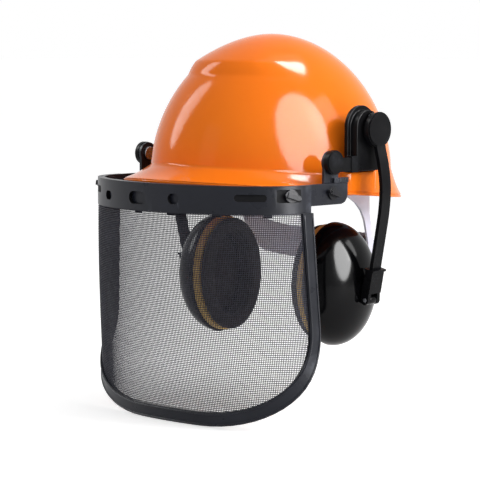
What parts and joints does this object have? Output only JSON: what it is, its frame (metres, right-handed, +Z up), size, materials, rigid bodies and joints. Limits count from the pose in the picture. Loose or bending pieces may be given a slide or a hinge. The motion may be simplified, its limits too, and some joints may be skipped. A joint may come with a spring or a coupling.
{
  "type": "forestry safety helmet",
  "caption": "Hard hat with suspension harness and ratchet, flip-up wire mesh face visor, and cap-mounted ear muffs on swinging, spreading, height-adjustable arms.",
  "frame": {"origin": "centre of the head opening, at the level of the shell rim half way along its sides", "axes": "+X to the wearer's left, -Y to the front (the peak and visor), +Z up to the crown"},
  "size_m": [0.2656, 0.278, 0.3385],
  "materials": {
    "shell_orange": "polished moulded",
    "harness_plastic": "semi-translucent moulded",
    "webbing": "woven",
    "pad_cloth": "padded cloth",
    "knob_plastic": "satin",
    "black_plastic": "satin moulded",
    "steel_pin": "turned",
    "band_plastic": "satin moulded",
    "lock_plastic": "satin moulded",
    "wire_mesh": "woven wire",
    "cup_black": "polished moulded",
    "seal_tan": "textured",
    "cushion_skin": "soft textured skin",
    "foam": "open foam"
  },
  "bodies": {
    "helmet": {"shell": "shell_orange", "headband": "harness_plastic", "sweatband": "pad_cloth", "strap_keys": "harness_plastic", "crown_strap_left": "webbing", "crown_strap_right": "webbing", "crown_pad": "pad_cloth", "nape_strap_left": "harness_plastic", "nape_strap_right": "harness_plastic", "strap_studs": "harness_plastic", "nape_pad": "pad_cloth", "ratchet_case": "harness_plastic", "side_bracket_left": "black_plastic", "side_bracket_right": "black_plastic", "visor_arm_left": "black_plastic", "visor_arm_right": "black_plastic", "visor_pin_left": "steel_pin", "visor_pin_right": "steel_pin", "ear_pivot_pin_left": "steel_pin", "ear_pivot_pin_right": "steel_pin"},
    "visor": {"brow_band": "band_plastic", "visor_frame": "band_plastic", "visor_mesh": "wire_mesh", "frame_clips": "band_plastic", "visor_carrier_left": "band_plastic", "visor_carrier_right": "band_plastic"},
    "ratchet": {"ratchet_knob": "knob_plastic", "ratchet_pinion": "knob_plastic"},
    "lock_front_left": {"lock_front_left": "lock_plastic"},
    "lock_rear_left": {"lock_rear_left": "lock_plastic"},
    "lock_front_right": {"lock_front_right": "lock_plastic"},
    "lock_rear_right": {"lock_rear_right": "lock_plastic"},
    "hub_left": {"ear_hub_left": "black_plastic", "spread_pin_left": "steel_pin"},
    "arm_left": {"ear_arm_left": "black_plastic"},
    "holder_left": {"cup_holder_left": "black_plastic", "cup_pin_left": "steel_pin"},
    "cup_left": {"cup_shell_left": "cup_black", "cup_seal_left": "seal_tan", "cup_cushion_left": "cushion_skin", "cup_foam_left": "foam"},
    "hub_right": {"ear_hub_right": "black_plastic", "spread_pin_right": "steel_pin"},
    "arm_right": {"ear_arm_right": "black_plastic"},
    "holder_right": {"cup_holder_right": "black_plastic", "cup_pin_right": "steel_pin"},
    "cup_right": {"cup_shell_right": "cup_black", "cup_seal_right": "seal_tan", "cup_cushion_right": "cushion_skin", "cup_foam_right": "foam"}
  },
  "joints": [
    {"name": "visor_flip", "type": "hinge", "parent": "helmet", "child": "visor", "pos_m": [0, -0.045, 0.031], "axis": [-1, 0, 0], "range_deg": [0, 95]},
    {"name": "lock_front_left_turn", "type": "hinge", "parent": "visor", "child": "lock_front_left", "pos_m": [0.1169, -0.0975, 0.0045], "axis": [0.9282, -0.3721, 0], "range_deg": [0, 90]},
    {"name": "lock_rear_left_turn", "type": "hinge", "parent": "visor", "child": "lock_rear_left", "pos_m": [0.1163, -0.045, 0.0045], "axis": [1, 0, 0], "range_deg": [0, 90]},
    {"name": "lock_front_right_turn", "type": "hinge", "parent": "visor", "child": "lock_front_right", "pos_m": [-0.1169, -0.0975, 0.0045], "axis": [-0.9282, -0.3721, 0], "range_deg": [0, 90]},
    {"name": "lock_rear_right_turn", "type": "hinge", "parent": "visor", "child": "lock_rear_right", "pos_m": [-0.1163, -0.045, 0.0045], "axis": [-1, 0, 0], "range_deg": [0, 90]},
    {"name": "ratchet_turn", "type": "hinge", "parent": "helmet", "child": "ratchet", "pos_m": [0, 0.11395, -0.06], "axis": [0, 1, 0], "continuous": true},
    {"name": "ear_swing_left", "type": "hinge", "parent": "helmet", "child": "hub_left", "pos_m": [0.1193, 0.005, 0.058], "axis": [1, 0, 0], "range_deg": [-20, 2]},
    {"name": "ear_spread_left", "type": "hinge", "parent": "hub_left", "child": "arm_left", "pos_m": [0.1218, 0.005, 0.07], "axis": [0, -1, 0], "range_deg": [0, 32]},
    {"name": "cup_height_left", "type": "slide", "parent": "arm_left", "child": "holder_left", "axis": [-0.225, 0.0425, -0.9734], "range_m": [-0.002, 0.008]},
    {"name": "cup_tilt_left", "type": "hinge", "parent": "holder_left", "child": "cup_left", "pos_m": [0.111, 0.01209, -0.093], "axis": [0, 1, 0], "range_deg": [-6, 6]},
    {"name": "ear_swing_right", "type": "hinge", "parent": "helmet", "child": "hub_right", "pos_m": [-0.1193, 0.005, 0.058], "axis": [1, 0, 0], "range_deg": [-20, 2]},
    {"name": "ear_spread_right", "type": "hinge", "parent": "hub_right", "child": "arm_right", "pos_m": [-0.1218, 0.005, 0.07], "axis": [0, 1, 0], "range_deg": [0, 32]},
    {"name": "cup_height_right", "type": "slide", "parent": "arm_right", "child": "holder_right", "axis": [0.225, 0.0425, -0.9734], "range_m": [-0.002, 0.008]},
    {"name": "cup_tilt_right", "type": "hinge", "parent": "holder_right", "child": "cup_right", "pos_m": [-0.111, 0.01209, -0.093], "axis": [0, -1, 0], "range_deg": [-6, 6]}
  ]
}
